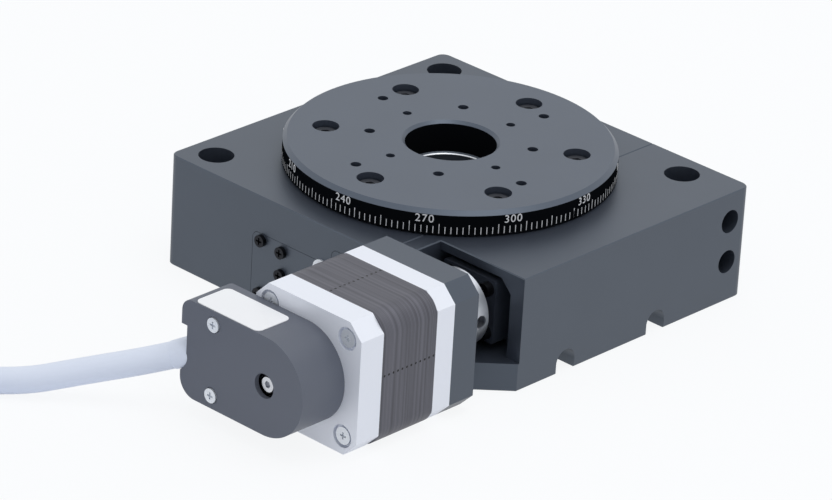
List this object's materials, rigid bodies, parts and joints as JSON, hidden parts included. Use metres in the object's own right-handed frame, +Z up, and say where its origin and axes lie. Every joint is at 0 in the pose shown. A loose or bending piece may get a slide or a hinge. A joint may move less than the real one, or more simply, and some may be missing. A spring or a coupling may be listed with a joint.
{
  "type": "motorised rotary stage",
  "caption": "Motorised rotary stage: a round table with a through bore, turned by a worm and wheel in a square base, with a stepper motor, encoder and cable.",
  "frame": {"origin": "on the table's turning axis, in the plane of the base's underside", "axes": "+Z up along the turning axis; the motor and worm lie along Y on the +X side, with the motor's end facing -Y; the table stands at its rest angle"},
  "size_m": [0.1638, 0.3435, 0.0447],
  "materials": {
    "anodised_black": "black anodised aluminium, fine brushed and bead blasted faces",
    "machined_steel": "bright turned steel",
    "bearing_steel": "ground bearing steel",
    "black_steel": "black oxide steel screws",
    "zinc_steel": "zinc plated steel screws",
    "bronze": "turned and hobbed bronze",
    "cage_plastic": "natural moulded plastic",
    "coupling_aluminium": "clear anodised turned aluminium",
    "spider_rubber": "cast polyurethane",
    "motor_cap_aluminium": "die cast aluminium, tumbled",
    "lamination_steel": "stacked steel laminations",
    "encoder_plastic": "moulded black plastic",
    "board_green": "green circuit board",
    "code_disc": "coated code disc on a turned hub",
    "label_white": "blank white label",
    "magnet": "nickel plated magnet",
    "cable_grey": "light grey cable sheath",
    "boot_black": "black strain relief",
    "plug_hood": "moulded grey connector hood"
  },
  "bodies": {
    "base": {"main_block": "anodised_black", "worm_housing": "anodised_black", "housing_screws": "black_steel", "bearing_outer_ring": "bearing_steel", "bearing_clamp_ring": "anodised_black", "clamp_ring_screws": "black_steel", "worm_bearing_outer_rings": "bearing_steel", "bearing_retainer": "anodised_black", "retainer_screws": "black_steel", "motor_plate": "anodised_black", "plate_screws": "black_steel", "motor_front_cap": "motor_cap_aluminium", "motor_stator": "lamination_steel", "motor_rear_cap": "motor_cap_aluminium", "motor_screws": "zinc_steel", "motor_bearing_outer_rings": "bearing_steel", "encoder_base": "encoder_plastic", "encoder_base_screws": "zinc_steel", "encoder_board": "board_green", "encoder_reader": "encoder_plastic", "encoder_cover": "encoder_plastic", "encoder_cover_screws": "zinc_steel", "encoder_label": "label_white", "switch_cover": "anodised_black", "wiring_cover": "anodised_black", "cover_screws": "black_steel", "ring_lug": "zinc_steel", "home_sensor": "encoder_plastic", "sensor_screws": "black_steel", "cable_boot": "boot_black", "cable": "cable_grey", "cable_coil": "cable_grey", "cable_plug": "plug_hood"},
    "table": {"rotating_table": "anodised_black", "table_screws": "black_steel", "hub": "machined_steel", "hub_nut": "machined_steel", "worm_wheel": "bronze", "wheel_screws": "black_steel", "home_magnet": "magnet", "bearing_inner_ring": "bearing_steel"},
    "ball_cage": {"bearing_balls": "bearing_steel", "bearing_cage": "cage_plastic"},
    "worm_shaft": {"worm": "machined_steel", "worm_bearing_inner_rings": "bearing_steel", "coupling_hub_worm": "coupling_aluminium", "coupling_spider": "spider_rubber", "coupling_hub_motor": "coupling_aluminium", "coupling_set_screws": "black_steel", "motor_rotor": "lamination_steel", "motor_shaft": "machined_steel", "motor_bearing_inner_rings": "bearing_steel", "encoder_disc": "code_disc"}
  },
  "joints": [
    {"name": "table_turn", "type": "hinge", "parent": "base", "child": "table", "pos_m": [0, 0, 0], "axis": [0, 0, 1], "continuous": true},
    {"name": "worm_turn", "type": "hinge", "parent": "base", "child": "worm_shaft", "pos_m": [0.04785, 0, 0.0215], "axis": [0, 1, 0], "continuous": true},
    {"name": "cage_turn", "type": "hinge", "parent": "base", "child": "ball_cage", "pos_m": [0, 0, 0], "axis": [0, 0, 1], "continuous": true}
  ],
  "couplings": [
    {"joint": "worm_turn", "follows": "table_turn", "ratio": -90},
    {"joint": "cage_turn", "follows": "table_turn", "ratio": 0.458}
  ]
}
